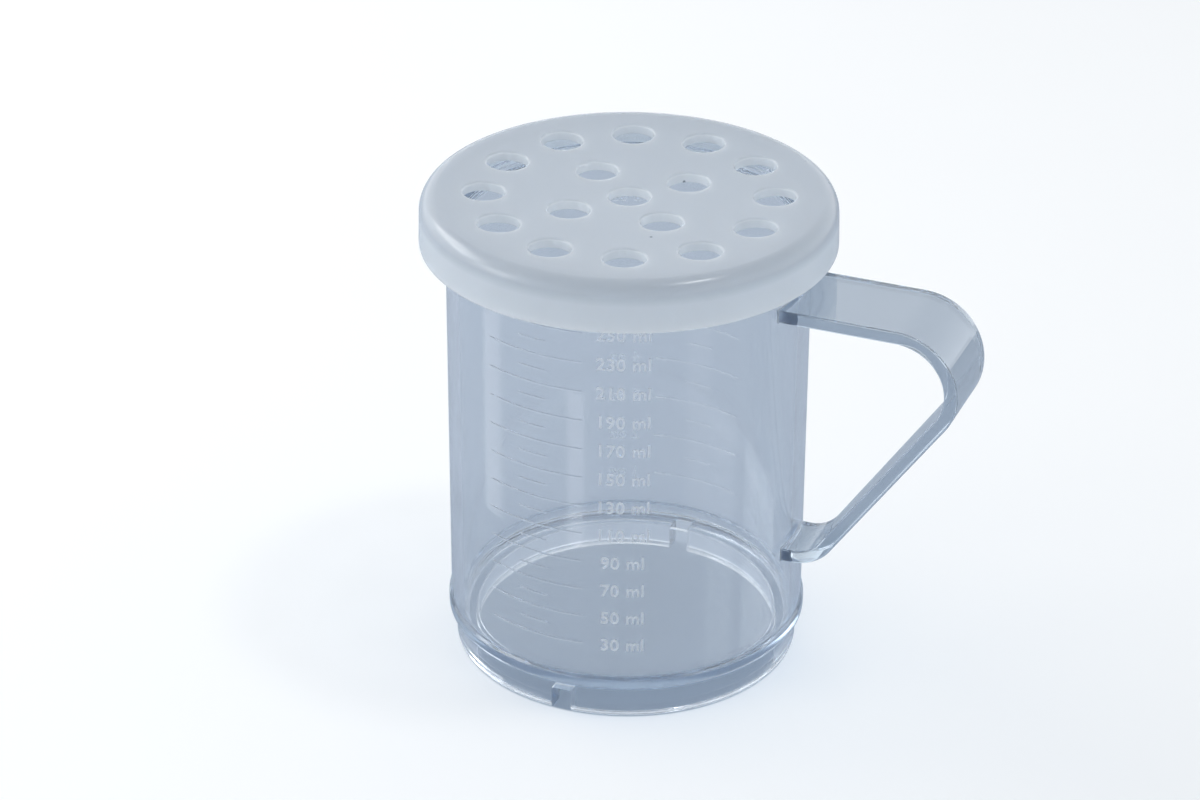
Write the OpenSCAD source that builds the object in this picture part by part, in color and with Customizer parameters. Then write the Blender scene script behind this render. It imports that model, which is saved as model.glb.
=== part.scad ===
// Handled shaker cup with a perforated press-on lid.
// Two moulded pieces: a clear cup with its handle, foot ring and raised
// volume scales, and a translucent lid with round dispensing holes.
// Millimetres. +Z up, +X towards the handle, origin at the centre of the
// foot ring, in the plane it stands on.

/* [Cup] */
// Outside diameter of the straight wall
cup_d = 69.6; // [66:0.1:73]
// Wall thickness
wall_t = 2.3; // [1.8:0.1:2.8]
// Height of the inside floor above the standing plane
floor_z = 7.9; // [7.5:0.1:9]
// Thickness of the floor
floor_t = 2.5; // [2:0.1:3.5]
// Height of the brim
brim_z = 93.85; // [92:0.05:95]
// Radius between the inside floor and the wall
floor_r = 1.5; // [0.5:0.1:2.5]

/* [Foot ring] */
// Outside diameter of the foot ring
foot_d = 67.6; // [65:0.1:68.4]
// Inside diameter of the foot ring
foot_in_d = 59.6; // [56:0.1:61]
// Height at which the foot ring meets the wall
foot_h = 6.9; // [6:0.1:7.2]
// Radius on the ring's outer bottom edge
foot_edge = 1; // [0.4:0.1:1.2]
// Width of each drain notch
notch_w = 4; // [3:0.1:6]
// Height of each drain notch
notch_h = 4.8; // [3:0.1:5.2]

/* [Base bead] */
// How far the bead stands out of the wall
bead_out = 0.5; // [0.1:0.05:0.7]
// Top of the bead
bead_top = 9.8; // [9:0.1:11]

/* [Collar] */
// Where the wall steps out under the lid
collar_z = 87; // [86.8:0.1:88]
// Outside diameter of the collar that the lid presses over
collar_d = 74.6; // [74:0.1:74.8]
// How far the snap bead stands out of the collar
snap_out = 0.25; // [0.1:0.05:0.3]

/* [Handle] */
// Width of the strap at its upper arm
strap_w = 18.9; // [16:0.1:22]
// Width of the strap at its lower arm
strap_low_w = 12; // [9:0.1:16]
// Thickness of the strap
strap_t = 2.65; // [2.2:0.05:3.2]
// Height of the upper arm's centre line
arm_z = 80.4; // [78:0.1:81]
// Height of the lower arm's centre line
low_z = 27.4; // [22:0.1:30]
// Where the upper arm starts to bend, from the cup's axis
bend_x = 56.2; // [52:0.1:60]
// Centre-line radius of the upper bend
bend_r = 11; // [9:0.1:12]
// Slope of the leg from the horizontal
leg_a = 55.4; // [54:0.1:58]
// Centre-line radius of the lower bend
low_r = 8.2; // [4:0.1:9]

/* [Scales] */
// How far the lines stand out of the wall
line_h = 0.25; // [0.1:0.05:0.4]
// Width of each line
line_w = 0.4; // [0.3:0.05:0.6]
// Angle of a long line
long_a = 33.5; // [20:0.5:38]
// Angle of a short line
short_a = 10; // [6:1:20]
// Direction of the middle of the millilitre lines
ml_mid = -99; // [-108:0.5:-96]
// Direction of the middle of the fluid-ounce lines
oz_mid = 85.5; // [72:0.5:96]

/* [Lid] */
// Outside diameter at the lower edge of the skirt
lid_d = 79.7; // [79.5:0.1:81]
// How far the skirt draws in on each side, up to the shoulder
skirt_draft = 0.25; // [0:0.05:0.4]
// Height of the lid's rim above the standing plane
lid_top = 95.85; // [95.6:0.05:96.2]
// How far the plate's centre lies below its rim
dish = 0.85; // [0:0.05:1]
// Lower edge of the skirt
skirt_z = 86.1; // [85:0.1:86.6]
// Thickness of the skirt at its lower edge
skirt_t = 1.9; // [1.8:0.05:2.2]
// Radius of the shoulder
shoulder_r = 3.2; // [2:0.1:3.4]
// Diameter of a dispensing hole
hole_d = 8; // [5:0.1:8.6]
// Lead-in on the top edge of a hole
hole_lead = 0.3; // [0.1:0.05:0.5]
// Number of holes in the outer ring
outer_n = 12; // [8:1:12]
// Radius of the outer ring of holes
outer_r = 27.5; // [24:0.1:29]
// Number of holes in the inner ring
inner_n = 4; // [3:1:6]
// Radius of the inner ring of holes
inner_r = 12.8; // [11:0.1:15]
// Turn of the hole pattern about the axis
lid_turn = 20; // [0:1:90]

/* [Hidden] */
$fn = 96;
cup_r = cup_d / 2;
in_r = cup_r - wall_t;
collar_r = collar_d / 2;
top_r = lid_d / 2 - skirt_draft;
// Radius up to which the plate's underside is dished, inside the brim
under_r = 34.5;
// Height of the plate's top and of its underside, at a distance from the axis
function top_z(r) = lid_top - dish * (1 - pow(r / (top_r - shoulder_r), 2));
function under_z(r) = brim_z - dish * (1 - pow(r / under_r, 2));
// Height of a volume inside the straight bore, from millilitres
function z_ml(v) = floor_z + v * 1000 / (PI * in_r * in_r);
// One US fluid ounce in millilitres
oz = 29.5735;
// Points on an arc, in two dimensions
function arc(c, r, a0, a1, n) =
    [for (i = [0:n]) let (a = a0 + (a1 - a0) * i / n) c + r * [cos(a), sin(a)]];

// Half section of the cup, turned about the axis
function cup_section() = concat(
    [[0, floor_z - floor_t], [foot_in_d / 2, floor_z - floor_t],
     [foot_in_d / 2, 0]],
    arc([foot_d / 2 - foot_edge, foot_edge], foot_edge, -90, 0, 6),
    [[foot_d / 2, foot_h], [cup_r, foot_h]],
    [[cup_r + bead_out, foot_h + 0.5], [cup_r + bead_out, bead_top - 0.5],
     [cup_r, bead_top]],
    [[cup_r, collar_z], [collar_r - 0.5, collar_z],
     [collar_r, collar_z + 0.5]],
    [[collar_r, collar_z + 1.4], [collar_r + snap_out, collar_z + 1.9],
     [collar_r + snap_out, collar_z + 2.3], [collar_r, collar_z + 2.8]],
    [[collar_r, brim_z - 0.5], [collar_r - 0.5, brim_z],
     [collar_r - wall_t + 0.3, brim_z], [collar_r - wall_t, brim_z - 0.3],
     [collar_r - wall_t, collar_z + wall_t], [in_r, collar_z + wall_t]],
    arc([in_r - floor_r, floor_z + floor_r], floor_r, 0, -90, 6),
    [[0, floor_z]]);

// Centre line and outline of the strap, in the plane of the handle
bend_c = [bend_x, arm_z - bend_r];
leg_n = [sin(leg_a), -cos(leg_a)];
leg_top = bend_c + bend_r * leg_n;
low_x = leg_top[0] - (leg_top[1] - low_z) / tan(leg_a);
low_c = [low_x - low_r * tan(leg_a / 2), low_z + low_r];
function strap_side(d) = concat(
    [[in_r + 0.2, arm_z + d]],
    arc(bend_c, bend_r + d, 90, leg_a - 90, 24),
    arc(low_c, low_r + d, leg_a - 90, -90, 10),
    [[in_r + 0.2, low_z - d]]);
function flip(p) = [for (i = [len(p) - 1:-1:0]) p[i]];

// Half width of the strap at a height
function strap_half(z) = strap_low_w / 2
    + (strap_w - strap_low_w) / 2 * (z - low_z) / (arm_z - low_z);

module strap() {
    intersection() {
        rotate([90, 0, 0])
            linear_extrude(strap_w * 2, center = true)
                polygon(concat(strap_side(strap_t / 2), flip(strap_side(-strap_t / 2))));
        // seen along X the strap is a trapezium, widest at the upper arm
        rotate([90, 0, 90])
            linear_extrude(200, center = true)
                polygon([[-strap_half(0), 0], [strap_half(0), 0],
                         [strap_half(100), 100], [-strap_half(100), 100]]);
    }
}

// One raised line round part of the wall, centred on an angle
module scale_line(z, mid, span) {
    rotate([0, 0, mid - span / 2])
        rotate_extrude(angle = span)
            translate([cup_r - 0.2, z - line_w / 2])
                square([line_h + 0.2, line_w]);
}

// Millilitres: a long line every 20 from 30, a short line between them
module ml_scale() {
    for (v = [30:20:250]) scale_line(z_ml(v), ml_mid, long_a);
    for (v = [40:20:240]) scale_line(z_ml(v), ml_mid, short_a);
}

// Fluid ounces on the opposite side, a short line at each half
module oz_scale() {
    for (v = [1:1:8]) scale_line(z_ml(v * oz), oz_mid, long_a);
    for (v = [1.5:1:7.5]) scale_line(z_ml(v * oz), oz_mid, short_a);
}

module cup() {
    color([0.65, 0.7, 0.76, 0.5])
    union() {
        difference() {
            rotate_extrude() polygon(cup_section());
            // drain notches, a quarter turn from the handle
            for (s = [-1, 1])
                translate([-notch_w / 2, s > 0 ? foot_in_d / 2 - 1.5 : -foot_d / 2 - 1.5, -1])
                    cube([notch_w, foot_d / 2 - foot_in_d / 2 + 3, notch_h + 1]);
        }
        strap();
        ml_scale();
        oz_scale();
    }
}

// Half section of the lid, turned about the axis
function lid_section() = concat(
    [for (i = [0:8]) [under_r * i / 8, under_z(under_r * i / 8)]],
    [[lid_d / 2 - skirt_t - 0.5, brim_z],
     [lid_d / 2 - skirt_t, brim_z - 0.5],
     [lid_d / 2 - skirt_t, skirt_z + 1.6],
     [lid_d / 2 - skirt_t - 0.2, skirt_z + 1.3],
     [lid_d / 2 - skirt_t - 0.2, skirt_z + 0.7],
     [lid_d / 2 - skirt_t + 0.3, skirt_z],
     [lid_d / 2 - 0.5, skirt_z], [lid_d / 2, skirt_z + 0.5]],
    arc([top_r - shoulder_r, lid_top - shoulder_r], shoulder_r, 0, 90, 8),
    [for (i = [7:-1:0]) let (r = (top_r - shoulder_r) * i / 8) [r, top_z(r)]]);

// A hole at a distance from the axis, with a lead-in on its top edge
module dispensing_hole(r) {
    translate([r, 0, under_z(0) - 1])
        cylinder(h = lid_top - under_z(0) + 2, d = hole_d);
    translate([r, 0, top_z(r) - hole_lead])
        cylinder(h = hole_lead * 2, d1 = hole_d, d2 = hole_d + hole_lead * 4);
}

module lid() {
    color([0.86, 0.9, 0.95, 0.9])
    difference() {
        rotate_extrude() polygon(lid_section());
        dispensing_hole(0);
        for (i = [0:outer_n - 1])
            rotate([0, 0, lid_turn + i * 360 / outer_n]) dispensing_hole(outer_r);
        for (i = [0:inner_n - 1])
            rotate([0, 0, lid_turn + 30 + i * 360 / inner_n]) dispensing_hole(inner_r);
    }
}

cup();
lid();
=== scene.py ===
"""A clear handled shaker cup with a perforated press-on lid, in its own frame: metres, +Z up, +X towards the handle."""

import math

import bmesh
import bpy
import numpy as np
from mathutils import Matrix, Vector, geometry
from mathutils.bvhtree import BVHTree
from mathutils.interpolate import poly_3d_calc


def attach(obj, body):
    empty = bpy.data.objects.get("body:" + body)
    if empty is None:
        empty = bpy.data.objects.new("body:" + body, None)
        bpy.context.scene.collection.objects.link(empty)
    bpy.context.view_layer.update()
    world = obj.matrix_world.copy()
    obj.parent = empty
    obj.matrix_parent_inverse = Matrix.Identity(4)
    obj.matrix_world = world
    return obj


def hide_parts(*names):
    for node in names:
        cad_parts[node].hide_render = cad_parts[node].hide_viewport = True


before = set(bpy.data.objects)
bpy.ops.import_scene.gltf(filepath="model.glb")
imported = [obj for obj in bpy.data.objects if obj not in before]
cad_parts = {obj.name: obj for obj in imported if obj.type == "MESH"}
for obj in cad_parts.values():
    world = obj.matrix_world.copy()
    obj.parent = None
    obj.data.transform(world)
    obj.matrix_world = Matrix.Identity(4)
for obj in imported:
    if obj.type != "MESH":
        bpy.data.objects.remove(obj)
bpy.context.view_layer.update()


MM = 0.001
SCENE = bpy.context.scene

# --------------------------------------------------------------------------
# Sizes in millimetres, as in the construction
# --------------------------------------------------------------------------
CUP_R = 34.8
WALL = 2.3
IN_R = CUP_R - WALL
FLOOR_Z = 7.9
UNDER_Z = 5.4
BRIM_Z = 93.80  # a hair under the lid's plate
FOOT_R = 33.8
FOOT_IN_R = 29.8
FOOT_H = 6.9
BEAD_OUT = 0.5
BEAD_TOP = 9.8
COLLAR_Z = 87.0
COLLAR_R = 37.3
STRAP_W = 18.9
STRAP_LOW_W = 12.0
STRAP_T = 2.65
ARM_Z = 80.4
LOW_Z = 27.4
BEND_X = 56.2
BEND_R = 11.0
LEG_A = math.radians(55.4)
LOW_R = 8.2
LID_R = 39.85
TOP_R = 39.6
LID_TOP = 95.85
DISH = 0.85
PLATE_Z = 93.85
UNDER_R = 34.5
SKIRT_Z = 86.1
SKIRT_T = 1.9
SHOULDER_R = 3.2
HOLE_R = 4.0
OZ = 29.5735
ML_MID, ML_LABEL = -99.0, -69.6
OZ_MID, OZ_LABEL = 85.5, 112.5
AROUND = 360


def z_ml(v):
    """Height of a volume in the straight bore, from millilitres."""
    return FLOOR_Z + v * 1000 / (math.pi * IN_R * IN_R)


# --------------------------------------------------------------------------
# Camera
# --------------------------------------------------------------------------
def make_camera():
    dist, elev, pan, tilt, roll = 696.988, 0.5030566, -0.0076774, -0.0073804, -0.0073874
    scale, turn, aim = 1.0075, math.radians(21.6), 45.0
    at = np.array([0, -dist * math.cos(elev), aim + dist * math.sin(elev)]) * scale
    back = np.array([0, -math.cos(elev), math.sin(elev)])
    right = np.array([1.0, 0, 0])
    base = np.array([right, np.cross(back, right), back])
    c, s = math.cos(tilt), math.sin(tilt)
    rx = np.array([[1, 0, 0], [0, c, -s], [0, s, c]])
    c, s = math.cos(pan), math.sin(pan)
    ry = np.array([[c, 0, s], [0, 1, 0], [-s, 0, c]])
    c, s = math.cos(roll), math.sin(roll)
    rz = np.array([[c, -s, 0], [s, c, 0], [0, 0, 1]])
    axes = rz @ ry @ rx @ base
    c, s = math.cos(turn), math.sin(turn)
    world = np.array([[c, -s, 0], [s, c, 0], [0, 0, 1]])
    axes = axes @ world.T
    at = world @ at
    cam = bpy.data.cameras.new("Camera")
    cam.sensor_fit = "HORIZONTAL"
    cam.sensor_width = 36.0
    cam.lens = 3599.75 * 36 / 1200
    cam.clip_start = 0.01
    cam.clip_end = 20
    ob = bpy.data.objects.new("Camera", cam)
    m = Matrix.Identity(4)
    for i in range(3):
        for j in range(3):
            m[i][j] = axes[j][i]
        m[i][3] = at[i] * MM
    ob.matrix_world = m
    SCENE.collection.objects.link(ob)
    SCENE.camera = ob
    return ob


# --------------------------------------------------------------------------
# Mesh helpers
# --------------------------------------------------------------------------
class Shape:
    """A closed mesh in millimetres with a normal for each face corner."""

    def __init__(self):
        self.v, self.f, self.n = [], [], []

    def face(self, idx, normals=None):
        self.f.append(tuple(idx))
        self.n.append(normals)


def unit(v):
    v = np.asarray(v, float)
    length = np.linalg.norm(v)
    return v / length if length > 1e-12 else v


def fill_normals(shape):
    """Gives every face that has no corner normals its flat one."""
    v = np.asarray(shape.v, float)
    for k, f in enumerate(shape.f):
        if shape.n[k] is None:
            n = np.zeros(3)
            p = v[list(f)]
            for i in range(len(f)):
                n += np.cross(p[i] - p[0], p[(i + 1) % len(f)] - p[0])
            n = unit(n)
            shape.n[k] = [n] * len(f)
        else:
            shape.n[k] = [unit(x) for x in shape.n[k]]
    return shape


def to_object(name, shape):
    """The shape as a Blender object, still in millimetres, with its corner normals."""
    me = bpy.data.meshes.new(name)
    me.from_pydata([tuple(map(float, p)) for p in shape.v], [], shape.f)
    me.update()
    ob = bpy.data.objects.new(name, me)
    SCENE.collection.objects.link(ob)
    return ob


def set_corner_normals(me, normals):
    for poly in me.polygons:
        poly.use_smooth = True
    me.normals_split_custom_set([tuple(n) for n in normals])


def rounded(points):
    """A closed outline, counter-clockwise, from (x, y, radius, steps) corners. Returns its points and, for each segment, the outward normals at its two ends."""
    pts = [np.array(p[:2], float) for p in points]
    m = len(pts)
    out, seg = [], []  # seg[i] holds the normals of the segment that starts at out[i]
    for i in range(m):
        r, steps = points[i][2], points[i][3]
        a, b, c = pts[i - 1], pts[i], pts[(i + 1) % m]
        u, w = unit(b - a), unit(c - b)
        nu, nw = np.array([u[1], -u[0]]), np.array([w[1], -w[0]])
        cross = u[0] * w[1] - u[1] * w[0]
        ang = math.atan2(cross, float(u @ w))
        if r <= 0 or abs(ang) < 1e-4:
            out.append(b)
            seg.append((nw, nw))
            continue
        t = r * math.tan(abs(ang) / 2)
        start = b - u * t
        side = 1 if ang > 0 else -1
        centre = start - nu * r * side
        for k in range(steps + 1):
            f = ang * k / steps
            n = np.array(
                [
                    nu[0] * math.cos(f) - nu[1] * math.sin(f),
                    nu[0] * math.sin(f) + nu[1] * math.cos(f),
                ]
            )
            out.append(centre + n * r * side)
            if k < steps:
                f2 = ang * (k + 1) / steps
                n2 = np.array(
                    [
                        nu[0] * math.cos(f2) - nu[1] * math.sin(f2),
                        nu[0] * math.sin(f2) + nu[1] * math.cos(f2),
                    ]
                )
                seg.append((n, n2))
            else:
                seg.append((nw, nw))
    return out, seg


def split_long(out, seg, limit):
    """Cuts straight segments so that none is longer than limit."""
    o2, s2 = [], []
    m = len(out)
    for i in range(m):
        a, b = out[i], out[(i + 1) % m]
        n = max(1, int(math.ceil(np.linalg.norm(b - a) / limit - 1e-9)))
        if not np.allclose(seg[i][0], seg[i][1]):
            n = 1
        for k in range(n):
            o2.append(a + (b - a) * k / n)
            s2.append(seg[i])
    return o2, s2


def lathe(out, seg, around=AROUND, closed=True):
    """Turns an (r, z) outline about the Z axis. Points on the axis become one vertex."""
    shape = Shape()
    m = len(out)
    ang = np.arange(around) * 2 * math.pi / around
    co, si = np.cos(ang), np.sin(ang)
    first = []
    for r, z in out:
        if r < 1e-6:
            first.append((len(shape.v), True))
            shape.v.append((0, 0, z))
        else:
            first.append((len(shape.v), False))
            shape.v += list(zip(r * co, r * si, np.full(around, z)))
    last = m if closed else m - 1
    for k in range(last):
        k2 = (k + 1) % m
        (a, pa), (b, pb) = first[k], first[k2]
        if pa and pb:
            continue
        n0, n1 = seg[k]
        for i in range(around):
            j = (i + 1) % around

            def nn(n, q):
                return (n[0] * co[q], n[0] * si[q], n[1])

            if pa:
                shape.face((a, b + j, b + i), [nn(n0, i), nn(n1, j), nn(n1, i)])
            elif pb:
                shape.face((a + i, a + j, b), [nn(n0, i), nn(n0, j), nn(n1, i)])
            else:
                shape.face(
                    (a + i, a + j, b + j, b + i),
                    [nn(n0, i), nn(n0, j), nn(n1, j), nn(n1, i)],
                )
    return shape


def add_shape(into, shape):
    off = len(into.v)
    into.v += list(shape.v)
    for f, n in zip(shape.f, shape.n):
        into.f.append(tuple(i + off for i in f))
        into.n.append(n)
    return into


# --------------------------------------------------------------------------
# Cup: body, notches, strap, scales
# --------------------------------------------------------------------------
def cup_body():
    pts = [
        (0, UNDER_Z, 0, 0),
        (FOOT_IN_R, UNDER_Z, 0.35, 4),
        (FOOT_IN_R, 0, 0.35, 4),
        (FOOT_R, 0, 1.0, 7),
        (FOOT_R, FOOT_H, 0.3, 4),
        (CUP_R + BEAD_OUT, FOOT_H, 0.6, 6),
        (CUP_R + BEAD_OUT, BEAD_TOP - 0.6, 0.6, 5),
        (CUP_R, BEAD_TOP + 0.1, 0.6, 5),
        (CUP_R, COLLAR_Z, 0.3, 4),
        (COLLAR_R, COLLAR_Z, 0.5, 5),
        (COLLAR_R, COLLAR_Z + 1.4, 0.15, 2),
        (COLLAR_R + 0.25, COLLAR_Z + 1.9, 0.2, 3),
        (COLLAR_R + 0.25, COLLAR_Z + 2.3, 0.2, 3),
        (COLLAR_R, COLLAR_Z + 2.8, 0.15, 2),
        (COLLAR_R, BRIM_Z, 0.6, 6),
        (COLLAR_R - WALL, BRIM_Z, 0.4, 5),
        (COLLAR_R - WALL, COLLAR_Z + WALL, 0.3, 4),
        (IN_R, COLLAR_Z + WALL, 0.5, 5),
        (IN_R, FLOOR_Z, 1.5, 10),
        (0, FLOOR_Z, 0, 0),
    ]
    out, seg = rounded(pts)
    out, seg = split_long(out, seg, 9.0)
    # the last segment closes along the axis
    return fill_normals(lathe(out, seg, AROUND, closed=False))


def prism(outline, y0, y1):
    """A straight prism along Y with the (x, z) outline given counter-clockwise seen from -Y."""
    s = Shape()
    m = len(outline)
    s.v = [(x, y0, z) for x, z in outline] + [(x, y1, z) for x, z in outline]
    s.face(tuple(range(m)))
    s.face(tuple(range(2 * m - 1, m - 1, -1)))
    for i in range(m):
        j = (i + 1) % m
        s.face((j, i, m + i, m + j))
    return fill_normals(s)


def notches():
    s = Shape()
    out = [(-2, -1), (2, -1), (2, 4.45), (1.9, 4.7), (1.65, 4.8), (-1.65, 4.8), (-1.9, 4.7), (-2, 4.45)]
    for a, b in ((28.3, 34.6), (-34.6, -28.3)):
        add_shape(s, prism(out, a, b))
    return s


def strap():
    """The ribbon handle: a rounded bar swept round its bends, flared into the wall at both roots."""
    # rings: (centre x, centre z, tangent angle, s from the wall or None)
    low_x = 0.0
    cx, cz = BEND_X, ARM_Z - BEND_R
    nx, nz = math.sin(LEG_A), -math.cos(LEG_A)
    tx, tz = cx + BEND_R * nx, cz + BEND_R * nz
    low_x = tx - (tz - LOW_Z) / math.tan(LEG_A)
    lcx, lcz = low_x - LOW_R * math.tan(LEG_A / 2), LOW_Z + LOW_R
    flare = 0.4
    root = [-1.3, -0.5, 0.01, 0.03, 0.06, 0.1, 0.15, 0.21, 0.28, 0.36, 0.46, 0.8, 1.4, 2.2, 3.2, 4.4, 5.6, 6.6]
    rings = []
    for s in root:
        rings.append((CUP_R + s, ARM_Z, 0.0, s))
    x = CUP_R + root[-1]
    while x < BEND_X - 2.0:
        x += 1.8
        rings.append((min(x, BEND_X - 1.0), ARM_Z, 0.0, None))
    steps = 40
    a0, a1 = math.pi / 2, LEG_A - math.pi / 2
    for k in range(steps + 1):
        a = a0 + (a1 - a0) * k / steps
        rings.append((cx + BEND_R * math.cos(a), cz + BEND_R * math.sin(a), a - math.pi / 2, None))
    # leg, from its top to the start of the lower bend
    bx, bz = lcx + LOW_R * nx, lcz + LOW_R * nz
    ta = a1 - math.pi / 2
    n_leg = 16
    for k in range(1, n_leg):
        f = k / n_leg
        rings.append((tx + (bx - tx) * f, tz + (bz - tz) * f, ta, None))
    steps = 24
    for k in range(steps + 1):
        a = a1 + (-math.pi / 2 - a1) * k / steps
        rings.append((lcx + LOW_R * math.cos(a), lcz + LOW_R * math.sin(a), a - math.pi / 2, None))
    lows = [s for s in root if CUP_R + s < lcx - 0.3]
    for s in reversed(lows):
        rings.append((CUP_R + s, LOW_Z, -math.pi, s))
    # cross-section: a on the strap's face normal, b along Y; the strap narrows towards its lower arm
    edge_r = 0.4
    taper = (STRAP_W - STRAP_LOW_W) / 2 / (ARM_Z - LOW_Z)

    def section(grow):
        ht, hw = STRAP_T / 2 + grow, STRAP_W / 2 + grow
        er = edge_r + 0.4 * grow
        pts, nor = [], []
        wide = 14
        for k in range(wide + 1):  # outer face, from -Y to +Y
            pts.append((ht, -(hw - er) + 2 * (hw - er) * k / wide))
            nor.append((1, 0))
        for k in range(1, 5):
            f = math.pi / 2 * k / 5
            pts.append((ht - er + er * math.cos(f), hw - er + er * math.sin(f)))
            nor.append((math.cos(f), math.sin(f)))
        for k in range(3):
            pts.append((ht - er - 2 * (ht - er) * k / 2, hw))
            nor.append((0, 1))
        for k in range(1, 5):
            f = math.pi / 2 + math.pi / 2 * k / 5
            pts.append((-(ht - er) + er * math.cos(f), hw - er + er * math.sin(f)))
            nor.append((math.cos(f), math.sin(f)))
        for k in range(wide + 1):
            pts.append((-ht, (hw - er) - 2 * (hw - er) * k / wide))
            nor.append((-1, 0))
        for k in range(1, 5):
            f = math.pi + math.pi / 2 * k / 5
            pts.append((-(ht - er) + er * math.cos(f), -(hw - er) + er * math.sin(f)))
            nor.append((math.cos(f), math.sin(f)))
        for k in range(3):
            pts.append((-(ht - er) + 2 * (ht - er) * k / 2, -hw))
            nor.append((0, -1))
        for k in range(1, 5):
            f = 1.5 * math.pi + math.pi / 2 * k / 5
            pts.append((ht - er + er * math.cos(f), -(hw - er) + er * math.sin(f)))
            nor.append((math.cos(f), math.sin(f)))
        return pts, nor

    s = Shape()
    m = len(section(0)[0])
    normals = []
    for x, z, t, d in rings:
        # tangent and outer normal in the plane of the handle
        tan = np.array([math.cos(t), 0, math.sin(t)])
        out = np.array([-math.sin(t), 0, math.cos(t)])
        grow, slope = 0.0, 0.0
        if d is not None:
            e = min(max(d, 0.01), flare)
            grow = flare - math.sqrt(max(flare**2 - (flare - e) ** 2, 0))
            if d < flare:
                slope = -(flare - e) / math.sqrt(max(flare**2 - (flare - e) ** 2, 1e-9))
            if d < 0:
                slope = 0.0
        pts, nor = section(grow)
        flat = STRAP_W / 2 - edge_r
        for (a, b), (na, nb) in zip(pts, nor):
            side = min(max(b / flat, -1.0), 1.0)
            b += side * taper * (z + out[2] * a - ARM_Z)
            shift, dsy, dss = 0.0, 0.0, 0.0
            if d is not None:
                f = min(max(d / 6.6, 0), 1)
                w = 1 - f * f * (3 - 2 * f)
                dw = -(6 * f - 6 * f * f) / 6.6 if 0 < f < 1 else 0.0
                root_y = math.sqrt(CUP_R**2 - b * b)
                shift = (root_y - CUP_R) * w
                dsy = -b / root_y * w
                dss = (root_y - CUP_R) * dw
            p = np.array([x + shift, 0, z]) + out * a + np.array([0, b, 0])
            s.v.append(tuple(p))
            # along the strap, away from this root, and round the section
            away = tan if (d is None or t > -2) else -tan
            grow_dir = out * na + np.array([0, nb, 0])
            along = away + grow_dir * slope + np.array([dss, side * taper * away[2], 0])
            ta2, tb2 = -nb, na  # tangent round the section
            around = out * ta2 + np.array([dsy * tb2, tb2 + side * taper * out[2] * ta2, 0])
            n = unit(np.cross(along, around))
            if n @ grow_dir < 0:
                n = -n
            normals.append(n)
    count = len(rings)
    for j in range(count - 1):
        for i in range(m):
            k = (i + 1) % m
            q = (j * m + i, j * m + k, (j + 1) * m + k, (j + 1) * m + i)
            s.face(q, [normals[x] for x in q])
    s.face(tuple(range(m - 1, -1, -1)))
    s.face(tuple((count - 1) * m + i for i in range(m)))
    fill_normals(s)
    # outward check
    v = np.asarray(s.v)
    q = s.f[m * 20]
    fn = np.cross(v[q[1]] - v[q[0]], v[q[2]] - v[q[0]])
    if fn @ s.n[m * 20][0] < 0:
        s.f = [tuple(reversed(f)) for f in s.f]
        s.n = [list(reversed(n)) for n in s.n]
        # flat caps keep the sense of their new winding
        for k in (len(s.f) - 1, len(s.f) - 2):
            s.n[k] = None
        fill_normals(s)
    return s


def ridge(z, mid, span, high=0.10, half=0.2, r0=CUP_R):
    """One raised line round part of the wall, crowned, with rounded ends."""
    s = Shape()
    prof = [(-0.3, -half), (0.0, -half), (0.45, -0.86 * half), (0.8, -0.55 * half), (1.0, 0.0), (0.8, 0.55 * half), (0.45, 0.86 * half), (0.0, half), (-0.3, half)]
    arc = math.radians(span) * r0
    n = max(6, int(arc / 0.7))
    cuts = [0, 0.03, 0.1, 0.2, 0.32]
    at = cuts + list(np.linspace(0.45, arc - 0.45, n)) + [arc - c for c in reversed(cuts)]
    m = len(prof)
    for t in at:
        end = min(t, arc - t)
        k = 0.12 if end <= 0 else 1.0
        if end < 0.32:
            k = max(0.12, math.sqrt(max(0.0, 1 - (1 - end / 0.32) ** 2)))
        th = math.radians(mid) + (t - arc / 2) / r0
        for h, dz in prof:
            r = r0 + (h * high * k if h > 0 else h)
            s.v.append((r * math.cos(th), r * math.sin(th), z + dz * (0.55 + 0.45 * k)))
    cnt = len(at)
    for j in range(cnt - 1):
        for i in range(m):
            k = (i + 1) % m
            s.face((j * m + i, (j + 1) * m + i, (j + 1) * m + k, j * m + k))
    s.face(tuple(range(m)))
    s.face(tuple((cnt - 1) * m + i for i in range(m - 1, -1, -1)))
    return smooth_shape(s, 50)


def smooth_shape(s, angle):
    """Corner normals as Blender gives them for a mesh that is smooth up to an angle in degrees."""
    me = bpy.data.meshes.new("tmp")
    me.from_pydata([tuple(map(float, p)) for p in s.v], [], s.f)
    me.update()
    me.shade_smooth()
    me.set_sharp_from_angle(angle=math.radians(angle))
    cn = np.zeros(len(me.loops) * 3, np.float32)
    me.corner_normals.foreach_get("vector", cn)
    cn = cn.reshape(-1, 3)
    s.n = [[cn[i] for i in p.loop_indices] for p in me.polygons]
    s.f = [tuple(p.vertices) for p in me.polygons]
    bpy.data.meshes.remove(me)
    return s


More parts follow.
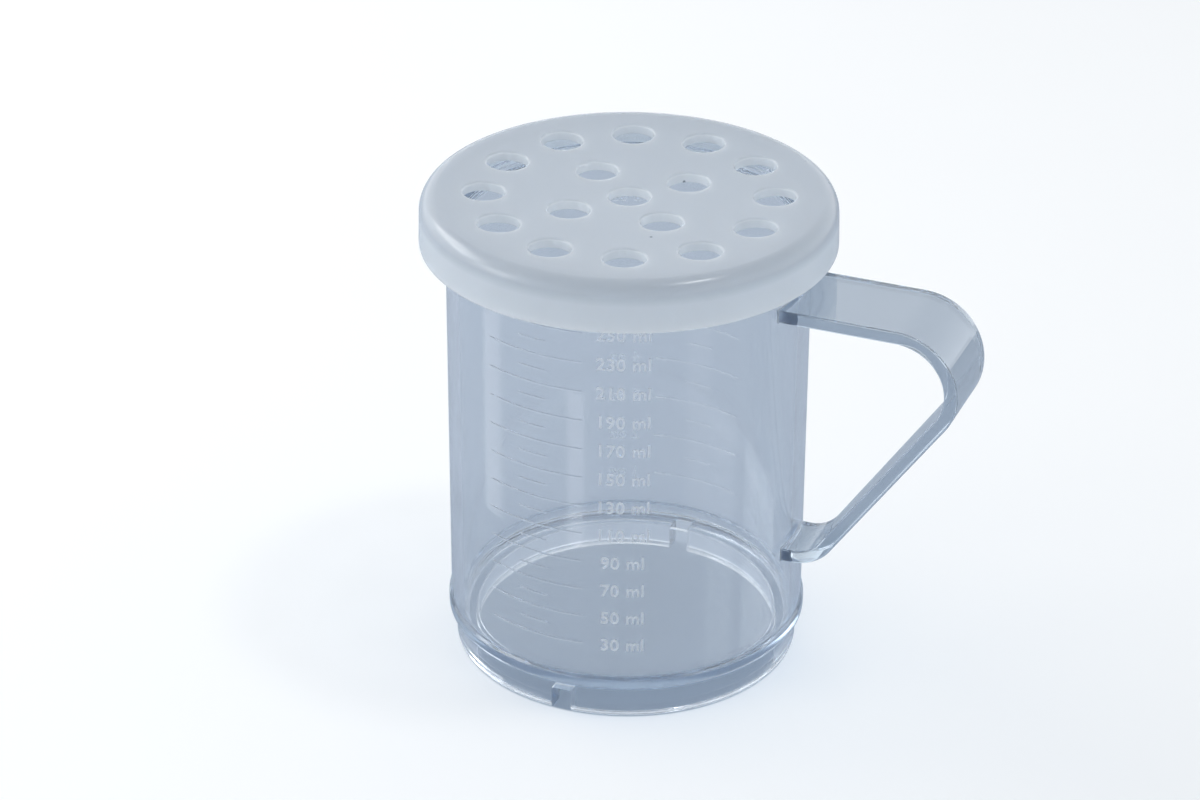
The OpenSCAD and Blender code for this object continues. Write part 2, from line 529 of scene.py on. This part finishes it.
def label(text, z, mid, size, high=0.16, bold=0.05):
    """Raised characters wrapped on the wall, centred on an angle and a height."""
    cu = bpy.data.curves.new("label", "FONT")
    cu.body = text
    cu.size = size
    cu.align_x, cu.align_y = "CENTER", "CENTER"
    cu.resolution_u = 3
    cu.offset = bold
    cu.space_character = 1.05
    ob = bpy.data.objects.new("label", cu)
    SCENE.collection.objects.link(ob)
    bpy.context.view_layer.update()
    me = bpy.data.meshes.new_from_object(ob.evaluated_get(bpy.context.evaluated_depsgraph_get()))
    bm = bmesh.new()
    bm.from_mesh(me)
    bmesh.ops.remove_doubles(bm, verts=bm.verts, dist=1e-4)
    bmesh.ops.dissolve_degenerate(bm, dist=1e-4, edges=bm.edges)
    bmesh.ops.triangulate(bm, faces=bm.faces)
    bm.normal_update()
    flip = sum(f.normal.z * f.calc_area() for f in bm.faces) < 0
    bm.verts.index_update()
    flat = [(v.co.x, v.co.y) for v in bm.verts]
    tris = [tuple(v.index for v in f.verts) for f in bm.faces]
    if flip:
        tris = [t[::-1] for t in tris]
    bm.free()
    bpy.data.objects.remove(ob)
    bpy.data.curves.remove(cu)
    bpy.data.meshes.remove(me)
    ymid = (min(p[1] for p in flat) + max(p[1] for p in flat)) / 2
    s = Shape()
    top_r, low_r = CUP_R + high, CUP_R - 0.35
    m = len(flat)
    for r in (top_r, low_r):
        for x, y in flat:
            th = math.radians(mid) + x / CUP_R
            s.v.append((r * math.cos(th), r * math.sin(th), z + y - ymid))
    edges = {}
    for t in tris:
        for i in range(3):
            edges[(t[i], t[(i + 1) % 3])] = True
    for t in tris:
        s.f.append(t)
        s.f.append(tuple(i + m for i in reversed(t)))
    for a, b in edges:
        if (b, a) not in edges:
            s.f.append((b, a, a + m, b + m))
    s.n = [None] * len(s.f)
    smooth_shape(s, 40)
    # the crowns follow the cylinder
    v = np.asarray(s.v)
    for k, f in enumerate(s.f):
        if max(f) < m:
            s.n[k] = [unit((v[i][0], v[i][1], 0)) for i in f]
    return s


def ml_scale():
    parts = []
    for v in range(30, 251, 20):
        parts.append(ridge(z_ml(v), ML_MID, 33.5))
        parts.append(label(f"{v} ml", z_ml(v) + 0.1, ML_LABEL, 3.55))
    for v in range(40, 241, 20):
        parts.append(ridge(z_ml(v), ML_MID, 10))
    return parts


def oz_scale():
    parts = []
    for v in range(1, 9):
        parts.append(ridge(z_ml(v * OZ), OZ_MID, 33.5))
        parts.append(label(f"{v} oz", z_ml(v * OZ) + 0.1, OZ_LABEL, 3.55))
        if v < 8:
            parts.append(ridge(z_ml((v + 0.5) * OZ), OZ_MID, 10))
    return parts


def boolean(target, other, operation):
    mod = target.modifiers.new("b", "BOOLEAN")
    mod.operation = operation
    mod.solver = "MANIFOLD"
    mod.object = other
    bpy.context.view_layer.update()
    dg = bpy.context.evaluated_depsgraph_get()
    me = bpy.data.meshes.new_from_object(target.evaluated_get(dg))
    target.modifiers.clear()
    old = target.data
    target.data = me
    bpy.data.meshes.remove(old)
    bpy.data.objects.remove(other)
    return target


class Source:
    """A shape's surface, to look corner normals up on."""

    def __init__(self, shape, flip=False):
        self.v = [Vector(p) for p in shape.v]
        self.f = shape.f if not flip else [tuple(reversed(f)) for f in shape.f]
        self.n = shape.n if not flip else [[-np.asarray(x) for x in reversed(n)] for n in shape.n]
        self.tree = BVHTree.FromPolygons(self.v, self.f)

    def near(self, p, fn, dist):
        best = None
        for co, n, idx, d in self.tree.find_nearest_range(p, dist):
            a = n.dot(fn)
            if best is None or a > best[0] + 1e-6 or (abs(a - best[0]) < 1e-6 and d < best[2]):
                best = (a, idx, d)
        return best

    def normal(self, idx, p):
        f = self.f[idx]
        w = poly_3d_calc([self.v[i] for i in f], p)
        n = sum(np.asarray(a) * b for a, b in zip(self.n[idx], w))
        return unit(n)


def carry_normals(ob, sources):
    """Gives a boolean's result the normals of the surfaces that it came from."""
    me = ob.data
    me.shade_smooth()
    out = np.zeros((len(me.loops), 3))
    verts = me.vertices
    missing = 0
    for poly in me.polygons:
        c, fn = poly.center, poly.normal
        if poly.area < 1e-9:
            for li in poly.loop_indices:
                out[li] = fn
            continue
        pick = None
        for s in sources:
            hit = s.near(c, fn, 0.02)
            if hit and hit[0] > 0.94 and (pick is None or hit[0] - hit[2] > pick[1][0] - pick[1][2]):
                pick = (s, hit)
        if pick is None:
            missing += 1
            for li in poly.loop_indices:
                out[li] = fn
            continue
        src = pick[0]
        for li in poly.loop_indices:
            p = verts[me.loops[li].vertex_index].co
            q = p.lerp(c, 0.002)
            hit = src.near(q, fn, 0.03)
            if hit and hit[0] > 0.9:
                out[li] = src.normal(hit[1], q)
            else:
                out[li] = fn
    set_corner_normals(me, out)
    return missing


def check_closed(ob, name):
    bm = bmesh.new()
    bm.from_mesh(ob.data)
    open_edges = sum(1 for e in bm.edges if len(e.link_faces) != 2)
    vol = bm.calc_volume(signed=True)
    print(f"{name}: {len(bm.verts)} verts, {len(bm.faces)} faces, open edges {open_edges}, volume {vol:.1f} mm3")
    bm.free()
    return open_edges


def make_cup():
    import time

    t0 = time.time()
    body = cup_body()
    cut = notches()
    handle = strap()
    marks = Shape()
    for part in ml_scale() + oz_scale():
        add_shape(marks, part)
    fill_normals(marks)
    print(f"cup shapes {time.time() - t0:.1f} s")
    ob = to_object("cup_moulding", body)
    check_closed(ob, "body")
    c = to_object("cut", cut)
    check_closed(c, "notches")
    boolean(ob, c, "DIFFERENCE")
    check_closed(ob, "cut body")
    h = to_object("handle", handle)
    check_closed(h, "strap")
    # the strap's inner ends stay inside the wall
    boolean(ob, h, "UNION")
    check_closed(ob, "with strap")
    m = to_object("marks", marks)
    check_closed(m, "marks")
    boolean(ob, m, "UNION")
    check_closed(ob, "cup")
    print(f"cup booleans {time.time() - t0:.1f} s")
    missing = carry_normals(ob, [Source(body), Source(cut, flip=True), Source(handle), Source(marks)])
    print(f"cup normals {time.time() - t0:.1f} s, {missing} faces without a source")
    return ob


# --------------------------------------------------------------------------
# Lid
# --------------------------------------------------------------------------
def hole_centres():
    pts = [(0.0, 0.0)]
    for i in range(12):
        a = math.radians(20 + 30 * i)
        pts.append((27.5 * math.cos(a), 27.5 * math.sin(a)))
    for i in range(4):
        a = math.radians(50 + 90 * i)
        pts.append((12.8 * math.cos(a), 12.8 * math.sin(a)))
    return pts


def dished(r, edge):
    """How far the plate lies below its rim, at a distance from the axis."""
    return -DISH * (1 - (r / edge) ** 2) if r < edge else 0.0


def plate(outer_r, hole_r, z, up, holes, around, hole_n):
    """A flat ring plate with round holes, as triangles between its edge points."""
    pts, edges = [], []
    for i in range(around):
        a = 2 * math.pi * i / around
        pts.append((outer_r * math.cos(a), outer_r * math.sin(a)))
        edges.append((i, (i + 1) % around))
    for cx, cy in holes:
        base = len(pts)
        for i in range(hole_n):
            a = 2 * math.pi * i / hole_n
            pts.append((cx + hole_r * math.cos(a), cy + hole_r * math.sin(a)))
            edges.append((base + i, base + (i + 1) % hole_n))
    # a few inner points keep the triangles even
    for ring_r, cnt, off in ((6.6, 16, 0.1), (18.6, 36, 0.05), (20.6, 40, 0.1), (33.0, 84, 0.02), (34.5, 96, 0.05)):
        for i in range(cnt):
            a = 2 * math.pi * i / cnt + off
            p = (ring_r * math.cos(a), ring_r * math.sin(a))
            if ring_r < outer_r - 1 and all(math.dist(p, c) > hole_r + 0.6 for c in holes):
                pts.append(p)
    v, e, f, ov, oe, of = geometry.delaunay_2d_cdt([Vector(p) for p in pts], edges, [], 0, 1e-6)
    keep = []
    for t in f:
        c = sum((v[i] for i in t), Vector((0, 0))) / len(t)
        if c.length > outer_r:
            continue
        if any((c - Vector(h)).length < hole_r * math.cos(math.pi / hole_n) - 1e-4 for h in holes):
            continue
        t = list(t)
        a, b, d = v[t[0]], v[t[1]], v[t[2]]
        ccw = (b - a).cross(d - a) > 0
        if ccw != up:
            t.reverse()
        keep.append(tuple(t))
    # the points as they went in, so that the hole walls meet them exactly
    return [(*pts[ov[i][0]], z) for i in range(len(v))], keep


def make_lid():
    around, hole_n = 288, 64
    holes = hole_centres()
    s = Shape()
    # outside, from the plate's edge over the shoulder and round the skirt to the inside corner
    inner = LID_R - SKIRT_T
    chain = [
        (inner, PLATE_Z, 0.6, 5),
        (inner, SKIRT_Z + 1.6, 0.2, 3),
        (inner - 0.2, SKIRT_Z + 1.3, 0.15, 3),
        (inner - 0.2, SKIRT_Z + 0.7, 0.15, 3),
        (inner + 0.25, SKIRT_Z, 0.3, 4),
        (LID_R, SKIRT_Z, 0.6, 6),
        (TOP_R, LID_TOP, SHOULDER_R, 20),
    ]
    # going round counter-clockwise: underside outwards, down inside, out, up, in on top
    loop = [(20, PLATE_Z, 0, 0)] + chain + [(20, LID_TOP, 0, 0)]
    out, seg = rounded(loop)
    start, end = 1, len(out) - 2  # drop the two helper points
    prof = out[start : end + 1]
    segs = seg[start:end]
    ring = lathe(prof, segs + [segs[-1]], around, closed=False)
    add_shape(s, ring)
    r_low, r_top = prof[0][0], prof[-1][0]
    first_low, first_top = 0, (len(prof) - 1) * around
    key = {}
    for i, p in enumerate(s.v):
        key[(round(p[0], 4), round(p[1], 4), round(p[2], 4))] = i

    def put(p):
        k = (round(p[0], 4), round(p[1], 4), round(p[2], 4))
        if k not in key:
            key[k] = len(s.v)
            s.v.append(tuple(p))
        return key[k]

    lead, small = 0.45, 0.2
    for r_edge, hole_r, z, up in ((r_top, HOLE_R + lead, LID_TOP, True), (r_low, HOLE_R + small, PLATE_Z, False)):
        v, f = plate(r_edge, hole_r, z, up, holes, around, hole_n)
        for t in f:
            s.face([put(v[i]) for i in t], [(0, 0, 1 if up else -1)] * 3)
    # hole walls: rounded at the top and eased below
    wall = []
    for k in range(7):
        a = math.pi / 2 * k / 6
        wall.append((HOLE_R + lead - lead * math.sin(a), LID_TOP - lead + lead * math.cos(a), math.sin(a), math.cos(a)))
    for k in range(5):
        a = math.pi / 2 * k / 4
        wall.append((HOLE_R + small - small * math.cos(a), PLATE_Z + small - small * math.sin(a), math.cos(a), -math.sin(a)))
    ang = np.arange(hole_n) * 2 * math.pi / hole_n
    for cx, cy in holes:
        rows = []
        for r, z, nr, nz in wall:
            rows.append([put((cx + r * math.cos(a), cy + r * math.sin(a), z)) for a in ang])
        for k in range(len(wall) - 1):
            for i in range(hole_n):
                j = (i + 1) % hole_n
                idx = (rows[k][i], rows[k + 1][i], rows[k + 1][j], rows[k][j])

                def nn(row, q):
                    _, _, nr, nz = wall[row]
                    return (-nr * math.cos(ang[q]), -nr * math.sin(ang[q]), nz)

                s.face(idx, [nn(k, i), nn(k + 1, i), nn(k + 1, j), nn(k, j)])
    fill_normals(s)
    # the plate is a shallow dish: its top and its underside bend down towards the centre
    top_edge = TOP_R - SHOULDER_R
    mid = (PLATE_Z + LID_TOP) / 2
    place = []
    for x, y, z in s.v:
        edge = top_edge if z > mid else UNDER_R
        r = math.hypot(x, y)
        place.append((x, y, z + dished(r, edge) if z > PLATE_Z - 0.01 else z))
    for k, f in enumerate(s.f):
        new = []
        for i, n in zip(f, s.n[k]):
            x, y, z = s.v[i]
            edge = top_edge if z > mid else UNDER_R
            r = math.hypot(x, y)
            if z > PLATE_Z - 0.01 and 0 < r < edge:
                g = 2 * DISH * r / edge**2 * n[2]
                n = (n[0] - g * x / r, n[1] - g * y / r, n[2])
            new.append(unit(n))
        s.n[k] = new
    s.v = place
    # check the winding against the normals
    v = np.asarray(s.v)
    bad = 0
    for k, f in enumerate(s.f):
        p = v[list(f)]
        n = np.zeros(3)
        for i in range(1, len(f) - 1):
            n += np.cross(p[i] - p[0], p[i + 1] - p[0])
        if n @ np.mean(s.n[k], axis=0) < 0:
            s.f[k] = tuple(reversed(f))
            s.n[k] = list(reversed(s.n[k]))
            bad += 1
    ob = to_object("lid_moulding", s)
    check_closed(ob, "lid")
    print("lid faces turned:", bad)
    set_corner_normals(ob.data, [n for f in s.n for n in f])
    return ob


# --------------------------------------------------------------------------
# Materials
# --------------------------------------------------------------------------
def new_material(name):
    m = bpy.data.materials.new(name)
    m.use_nodes = True
    nt = m.node_tree
    nt.nodes.clear()
    out = nt.nodes.new("ShaderNodeOutputMaterial")
    p = nt.nodes.new("ShaderNodeBsdfPrincipled")
    nt.links.new(p.outputs["BSDF"], out.inputs["Surface"])
    return m, nt, p, out


def node(nt, kind, **values):
    """A node with its settings and unlinked socket values."""
    n = nt.nodes.new(kind)
    for k, v in values.items():
        if k in n.inputs:
            n.inputs[k].default_value = v
        else:
            setattr(n, k, v)
    return n


def map_range(nt, source, lo, hi, to_lo, to_hi):
    n = node(nt, "ShaderNodeMapRange", clamp=True)
    for name, v in (("From Min", lo), ("From Max", hi), ("To Min", to_lo), ("To Max", to_hi)):
        n.inputs[name].default_value = v
    nt.links.new(source, n.inputs["Value"])
    return n.outputs["Result"]


def maths(nt, operation, a, b=None):
    n = nt.nodes.new("ShaderNodeMath")
    n.operation = operation
    for i, v in enumerate((a, b)):
        if v is None:
            continue
        if isinstance(v, (int, float)):
            n.inputs[i].default_value = v
        else:
            nt.links.new(v, n.inputs[i])
    return n.outputs[0]


def mix_colour(nt, fac, a, b):
    n = nt.nodes.new("ShaderNodeMix")
    n.data_type = "RGBA"
    nt.links.new(fac, n.inputs["Factor"])
    for sock, v in ((n.inputs[6], a), (n.inputs[7], b)):
        if isinstance(v, tuple):
            sock.default_value = v
        else:
            nt.links.new(v, sock)
    return n.outputs[2]


def let_through(nt, out, shader, rays):
    """Rays of these kinds pass straight on, tinted."""
    path = nt.nodes.new("ShaderNodeLightPath")
    last = shader
    for ray, colour in rays:
        clear = node(nt, "ShaderNodeBsdfTransparent", Color=(*colour, 1))
        mix = nt.nodes.new("ShaderNodeMixShader")
        nt.links.new(path.outputs[ray], mix.inputs[0])
        nt.links.new(last, mix.inputs[1])
        nt.links.new(clear.outputs["BSDF"], mix.inputs[2])
        last = mix.outputs["Shader"]
    nt.links.new(last, out.inputs["Surface"])


def clear_plastic():
    m, nt, p, out = new_material("clear_polycarbonate")
    p.inputs["IOR"].default_value = 1.585
    co = nt.nodes.new("ShaderNodeTexCoord")
    # the raised figures stand proud of the wall: they are frosted
    sep = nt.nodes.new("ShaderNodeSeparateXYZ")
    nt.links.new(co.outputs["Object"], sep.inputs[0])
    x, y, z = sep.outputs
    rad = maths(nt, "SQRT", maths(nt, "ADD", maths(nt, "MULTIPLY", x, x), maths(nt, "MULTIPLY", y, y)))
    proud = map_range(nt, rad, (CUP_R + 0.04) * MM, (CUP_R + 0.1) * MM, 0.0, 1.0)
    level = maths(nt, "MULTIPLY", maths(nt, "GREATER_THAN", z, 0.012), maths(nt, "LESS_THAN", z, 0.0865))
    # figures lie at +X on the -Y side and at -X on the +Y side, lines the other way round
    across = maths(nt, "MULTIPLY", maths(nt, "SIGN", y), x)
    beside = maths(nt, "MULTIPLY", maths(nt, "LESS_THAN", across, -0.005), maths(nt, "GREATER_THAN", across, -0.026))
    frost = maths(nt, "MULTIPLY", proud, maths(nt, "MULTIPLY", level, beside))
    # moulded gloss: faint uneven patches
    noise = node(nt, "ShaderNodeTexNoise", Scale=120.0, Detail=2.0)
    nt.links.new(co.outputs["Object"], noise.inputs["Vector"])
    gloss = map_range(nt, noise.outputs["Fac"], 0.35, 0.75, 0.012, 0.05)
    rough = maths(nt, "ADD", gloss, maths(nt, "MULTIPLY", frost, 0.4))
    nt.links.new(rough, p.inputs["Roughness"])
    cloud = node(nt, "ShaderNodeTexNoise", Scale=38.0, Detail=3.0)
    nt.links.new(co.outputs["Object"], cloud.inputs["Vector"])
    even = map_range(nt, cloud.outputs["Fac"], 0.3, 0.7, 0.0, 1.0)
    base = mix_colour(nt, even, (0.955, 0.97, 0.985, 1), (0.97, 0.98, 0.99, 1))
    base = mix_colour(nt, frost, base, (0.90, 0.92, 0.94, 1))
    # painted shade: the strap, a little thicker than the wall, is painted darker than it, deepest on its lower arm,
    # where this also dulls a bright reflection in the bend
    beyond = maths(nt, "MULTIPLY", level, map_range(nt, rad, 0.0352, 0.0356, 0.0, 1.0))
    low = map_range(nt, z, 0.0305, 0.0350, 1.0, 0.0)
    strap_painted_shade = mix_colour(nt, low, (0.79, 0.83, 0.86, 1), (0.62, 0.68, 0.73, 1))
    base = mix_colour(nt, beyond, base, strap_painted_shade)
    # the ring where the floor, the wall and the foot meet is painted darker too: painted shade in that corner
    rim = maths(nt, "MULTIPLY", maths(nt, "GREATER_THAN", rad, 0.0335), map_range(nt, z, 0.0098, 0.0112, 1.0, 0.0))
    rim = maths(nt, "MULTIPLY", rim, map_range(nt, z, 0.0066, 0.0071, 0.0, 1.0))
    base = mix_colour(nt, rim, base, (0.76, 0.80, 0.84, 1))
    nt.links.new(base, p.inputs["Base Color"])
    clarity = maths(nt, "SUBTRACT", 0.97, maths(nt, "MULTIPLY", frost, 0.2))
    nt.links.new(clarity, p.inputs["Transmission Weight"])
    vol = node(nt, "ShaderNodeVolumeAbsorption", Color=(0.45, 0.58, 0.72, 1), Density=20.0)
    nt.links.new(vol.outputs["Volume"], out.inputs["Volume"])
    # lamps and bounced light pass straight through, so that what stands in or under the cup is lit
    let_through(
        nt,
        out,
        p.outputs["BSDF"],
        (("Is Shadow Ray", (0.95, 0.965, 0.98)), ("Is Diffuse Ray", (0.94, 0.96, 0.98))),
    )
    return m


def lid_plastic():
    m, nt, p, out = new_material("natural_polyethylene")
    p.inputs["IOR"].default_value = 1.5
    p.inputs["Subsurface Weight"].default_value = 1.0
    p.inputs["Subsurface Radius"].default_value = (1.0, 1.0, 1.0)
    p.inputs["Subsurface Scale"].default_value = 0.008
    co = nt.nodes.new("ShaderNodeTexCoord")
    cloud = node(nt, "ShaderNodeTexNoise", Scale=22.0, Detail=1.0)
    nt.links.new(co.outputs["Object"], cloud.inputs["Vector"])
    even = map_range(nt, cloud.outputs["Fac"], 0.2, 0.8, 0.0, 1.0)
    base = mix_colour(nt, even, (0.465, 0.508, 0.560, 1), (0.485, 0.527, 0.580, 1))
    # painted light: the skirt is painted lighter than the plate and the shoulder, standing in for the light that comes
    # through its thin wall
    sep = nt.nodes.new("ShaderNodeSeparateXYZ")
    nt.links.new(co.outputs["Object"], sep.inputs[0])
    skirt_painted_light = map_range(nt, sep.outputs[2], 0.0915, 0.0935, 1.0, 0.0)
    base = mix_colour(nt, skirt_painted_light, base, (0.66, 0.71, 0.765, 1))
    # painted light: the walls of the holes are painted lighter in the same way
    nor = nt.nodes.new("ShaderNodeSeparateXYZ")
    nt.links.new(co.outputs["Normal"], nor.inputs[0])
    upright = map_range(nt, maths(nt, "ABSOLUTE", nor.outputs[2]), 0.3, 0.85, 1.0, 0.0)
    flat = maths(nt, "ADD", maths(nt, "MULTIPLY", sep.outputs[0], sep.outputs[0]), maths(nt, "MULTIPLY", sep.outputs[1], sep.outputs[1]))
    inside = maths(nt, "LESS_THAN", flat, 0.0335**2)
    base = mix_colour(nt, maths(nt, "MULTIPLY", upright, inside), base, (0.66, 0.71, 0.765, 1))
    # a few dark specks in the moulding
    cells = node(nt, "ShaderNodeTexVoronoi", Scale=140.0, Randomness=1.0)
    nt.links.new(co.outputs["Object"], cells.inputs["Vector"])
    dot = map_range(nt, cells.outputs["Distance"], 0.03, 0.055, 1.0, 0.0)
    pick = nt.nodes.new("ShaderNodeSeparateColor")
    nt.links.new(cells.outputs["Color"], pick.inputs[0])
    few = maths(nt, "GREATER_THAN", pick.outputs[0], 0.45)
    speck = maths(nt, "MULTIPLY", dot, few)
    base = mix_colour(nt, speck, base, (0.12, 0.14, 0.17, 1))
    nt.links.new(base, p.inputs["Base Color"])
    p.inputs["Roughness"].default_value = 0.22
    p.inputs["Transmission Weight"].default_value = 0.3
    # some of the light that falls on the lid reaches the inside of the cup
    let_through(nt, out, p.outputs["BSDF"], (("Is Shadow Ray", (0.50, 0.53, 0.56)),))
    return m


def floor_material():
    """Pale where it is seen straight on and a blue-grey studio tone where it is seen in the plastic, with a painted
    shadow, a dark disc, directly under the cup.
    """
    m, nt, p, out = new_material("pale_floor")
    co = nt.nodes.new("ShaderNodeTexCoord")
    noise = node(nt, "ShaderNodeTexNoise", Scale=9.0, Detail=2.0)
    nt.links.new(co.outputs["Object"], noise.inputs["Vector"])
    even = map_range(nt, noise.outputs["Fac"], 0.3, 0.7, 0.0, 1.0)
    tone = mix_colour(nt, even, (0.414, 0.468, 0.548, 1), (0.424, 0.478, 0.560, 1))
    pale = mix_colour(nt, even, (0.955, 0.96, 0.965, 1), (0.965, 0.97, 0.975, 1))
    sep = nt.nodes.new("ShaderNodeSeparateXYZ")
    nt.links.new(co.outputs["Object"], sep.inputs[0])
    x, y, _ = sep.outputs
    rad = maths(nt, "SQRT", maths(nt, "ADD", maths(nt, "MULTIPLY", x, x), maths(nt, "MULTIPLY", y, y)))
    under = map_range(nt, rad, 0.0330, 0.0336, 1.0, 0.0)
    # painted shadow: a dark disc directly under the cup, a little deeper than the lamps give it through clear plastic
    shade = mix_colour(nt, under, tone, (0.295, 0.345, 0.414, 1))
    nt.links.new(mix_colour(nt, under, pale, (0.295, 0.345, 0.414, 1)), p.inputs["Base Color"])
    p.inputs["Roughness"].default_value = 0.8
    dim = node(nt, "ShaderNodeBsdfDiffuse")
    nt.links.new(shade, dim.inputs["Color"])
    path = nt.nodes.new("ShaderNodeLightPath")
    last = p.outputs["BSDF"]
    for ray in ("Is Transmission Ray", "Is Glossy Ray"):
        mix = nt.nodes.new("ShaderNodeMixShader")
        nt.links.new(path.outputs[ray], mix.inputs[0])
        nt.links.new(last, mix.inputs[1])
        nt.links.new(dim.outputs["BSDF"], mix.inputs[2])
        last = mix.outputs["Shader"]
    nt.links.new(last, out.inputs["Surface"])
    return m


# --------------------------------------------------------------------------
# Stage
# --------------------------------------------------------------------------
def area_light(name, at, to, size, power, colour=(1, 1, 1)):
    li = bpy.data.lights.new(name, "AREA")
    li.shape = "RECTANGLE"
    li.size, li.size_y = size
    li.energy = power
    li.color = colour
    ob = bpy.data.objects.new(name, li)
    d = (Vector(to) - Vector(at)).normalized()
    ob.rotation_euler = d.to_track_quat("-Z", "Y").to_euler()
    ob.location = at
    SCENE.collection.objects.link(ob)
    return ob


def soft_sides(ob, edge):
    """Fades an area light out towards its two upright sides."""
    li = ob.data
    li.use_nodes = True
    nt = li.node_tree
    em = nt.nodes["Emission"]
    geo = nt.nodes.new("ShaderNodeNewGeometry")
    sep = nt.nodes.new("ShaderNodeSeparateXYZ")
    nt.links.new(geo.outputs["Parametric"], sep.inputs[0])
    fold = maths(nt, "PINGPONG", sep.outputs[0], 0.5)
    ease = map_range(nt, fold, 0.0, edge, 0.0, 1.0)
    ease.node.interpolation_type = "SMOOTHSTEP"
    nt.links.new(ease, em.inputs["Strength"])


def make_stage():
    me = bpy.data.meshes.new("floor")
    h = 3.0
    me.from_pydata([(-h, -h, -0.0001), (h, -h, -0.0001), (h, h, -0.0001), (-h, h, -0.0001)], [], [(0, 1, 2, 3)])
    ob = bpy.data.objects.new("floor", me)
    SCENE.collection.objects.link(ob)
    ob.data.materials.append(floor_material())
    w = bpy.data.worlds.new("studio")
    SCENE.world = w
    w.use_nodes = True
    bg = w.node_tree.nodes["Background"]
    bg.inputs["Color"].default_value = (0.94, 0.97, 1.0, 1)
    SCENE.view_settings.view_transform = "Standard"
    SCENE.cycles.max_bounces = 64
    SCENE.cycles.transmission_bounces = 64
    SCENE.cycles.glossy_bounces = 64
    SCENE.cycles.transparent_max_bounces = 64
    # axes seen from the camera: right, away from it and up
    a = math.radians(21.6)
    right = Vector((math.cos(a), math.sin(a), 0))
    away = Vector((-math.sin(a), math.cos(a), 0))
    up = Vector((0, 0, 1))

    def at(x, y, z, dist):
        d = right * x + away * y + up * z
        return d.normalized() * dist + up * 0.06

    # a light tent: bright low down, dimmer overhead and in front
    wt = w.node_tree
    gen = wt.nodes.new("ShaderNodeTexCoord").outputs["Generated"]

    def towards(d):
        n = wt.nodes.new("ShaderNodeVectorMath")
        n.operation = "DOT_PRODUCT"
        wt.links.new(gen, n.inputs[0])
        n.inputs[1].default_value = d
        return n.outputs["Value"]

    height = map_range(wt, towards((0, 0, 1)), 0.0, 1.0, 1.5, 0.55)
    front = maths(wt, "POWER", map_range(wt, towards(tuple((away * -0.64 + up * 0.77).normalized())), 0.0, 1.0, 0.0, 1.0), 5.0)
    wt.links.new(maths(wt, "MULTIPLY", height, map_range(wt, front, 0.0, 1.0, 1.0, 0.4)), bg.inputs["Strength"])

    target = (0, 0, 0.06)
    # a soft box behind on the left, a low one on the left and a smaller one overhead
    area_light("back_left_box", at(-0.73, 0.4, 0.55, 0.9), target, (0.6, 0.3), 2.4)
    area_light("left_box", at(-0.88, -0.25, 0.38, 0.95), target, (0.35, 0.35), 1.05)
    area_light("top_box", at(0.34, -0.1, 0.93, 0.9), target, (0.12, 0.12), 0.9)
    # three small cards, out of the camera's sight, that the wall mirrors as upright bands
    for name, turn, dist, low, high, wide, power in (
        ("left_card", -76, 0.078, 0.010, 0.062, 0.027, 0.0042),
        ("front_left_card", -27, 0.098, 0.0, 0.036, 0.024, 0.0029),
        ("front_right_card", 36, 0.083, 0.006, 0.064, 0.027, 0.0020),
    ):
        t = math.radians(turn)
        d = right * math.sin(t) - away * math.cos(t)
        mid = d * dist + up * (low + high) / 2
        card = area_light(name, mid, up * (low + high) / 2, (wide, high - low), power)
        card.visible_camera = False
        card.visible_diffuse = False
        card.visible_transmission = False
        soft_sides(card, 0.35)


# --------------------------------------------------------------------------
# Build
# --------------------------------------------------------------------------
make_camera()
make_stage()

cup = make_cup()
cup.data.transform(Matrix.Scale(MM, 4))
cup.data.materials.clear()
cup.data.materials.append(clear_plastic())
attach(cup, "cup")
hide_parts("cup")

lid = make_lid()
lid.data.transform(Matrix.Scale(MM, 4))
lid.data.materials.append(lid_plastic())
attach(lid, "lid")
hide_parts("lid")
